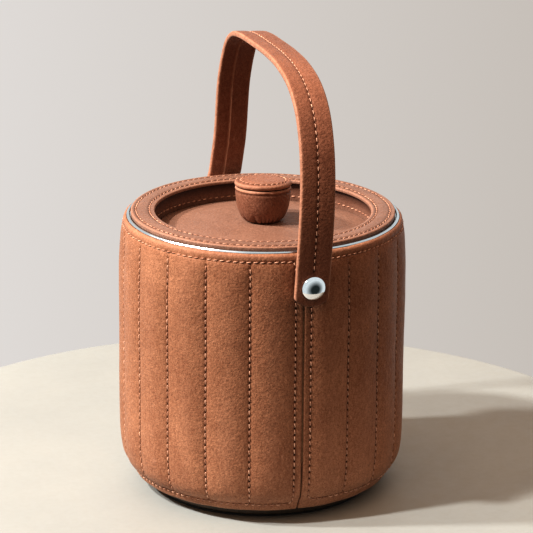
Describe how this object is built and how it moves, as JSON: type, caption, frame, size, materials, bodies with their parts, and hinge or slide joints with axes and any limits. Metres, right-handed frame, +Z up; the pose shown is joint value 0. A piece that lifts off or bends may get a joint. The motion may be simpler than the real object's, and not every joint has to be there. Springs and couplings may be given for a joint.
{
  "type": "ice bucket",
  "caption": "Round leather-clad insulated ice bucket with a quilted jacket, a recessed lid with a knob and a swing strap handle.",
  "frame": {"origin": "centre of the foot's flat underside, on the bucket's axis", "axes": "+Z up along the bucket's axis; the handle's pivot axis lies along Y with its front stud on the -Y side; the handle rests leaning slightly towards +X"},
  "size_m": [0.19, 0.2114, 0.297],
  "materials": {
    "jacket_leather": "semi-matte cognac leather with fine grain and tone-on-tone stitching",
    "lid_leather": "semi-matte cognac leather, smooth",
    "knob_leather": "semi-matte cognac leather, wrinkled and pleated round the side",
    "strap_leather": "semi-matte cognac leather, folded and stitched down the middle",
    "thread": "waxed polyester thread in the leather's tone",
    "liner_steel": "brushed stainless steel with a polished rim",
    "chrome": "mirror-polished",
    "brass": "plain",
    "fastener_steel": "zinc-plated",
    "board": "dense fibreboard",
    "foam": "rigid insulating foam",
    "padding": "polyester wadding",
    "plinth": "dark stained, satin",
    "foot_rubber": "matte",
    "gasket_rubber": "matte",
    "wood": "turned beech, hidden"
  },
  "bodies": {
    "bucket": {"foot_pad": "foot_rubber", "foot_disc": "plinth", "base_board": "board", "base_screw_1": "fastener_steel", "base_screw_2": "fastener_steel", "base_screw_3": "fastener_steel", "base_screw_4": "fastener_steel", "liner_inner_tub": "liner_steel", "liner_outer_shell": "liner_steel", "insulation_sleeve": "foam", "insulation_disc": "foam", "core_shell": "board", "padding_left": "padding", "padding_right": "padding", "seam_backing_front": "board", "seam_backing_rear": "board", "leather_panel_left": "jacket_leather", "leather_panel_right": "jacket_leather", "handle_stud_front": "chrome", "handle_stud_rear": "chrome", "stud_spacer_front": "brass", "stud_spacer_rear": "brass", "stud_washer_front": "fastener_steel", "stud_washer_rear": "fastener_steel", "stud_nut_front": "fastener_steel", "stud_nut_rear": "fastener_steel"},
    "lid": {"lid_ring_leather": "lid_leather", "lid_ring_core": "board", "lid_pan": "liner_steel", "lid_gasket": "gasket_rubber", "lid_well_leather": "lid_leather", "lid_floor_leather": "lid_leather", "lid_floor_board": "board", "lid_insulation": "foam", "knob_core": "wood", "knob_side_leather": "knob_leather", "knob_bead": "knob_leather", "knob_cap_leather": "knob_leather", "knob_washer": "fastener_steel", "knob_screw": "fastener_steel"},
    "handle": {"handle_strap": "strap_leather", "handle_core": "board", "handle_eyelet_front": "brass", "handle_eyelet_rear": "brass"}
  },
  "joints": [
    {"name": "handle_swing", "type": "hinge", "parent": "bucket", "child": "handle", "pos_m": [0, 0, 0.1635], "axis": [0, 1, 0], "range_deg": [-93, 86]},
    {"name": "lid_lift", "type": "slide", "parent": "bucket", "child": "lid", "axis": [0, 0, 1], "range_m": [0, 0.024]}
  ]
}
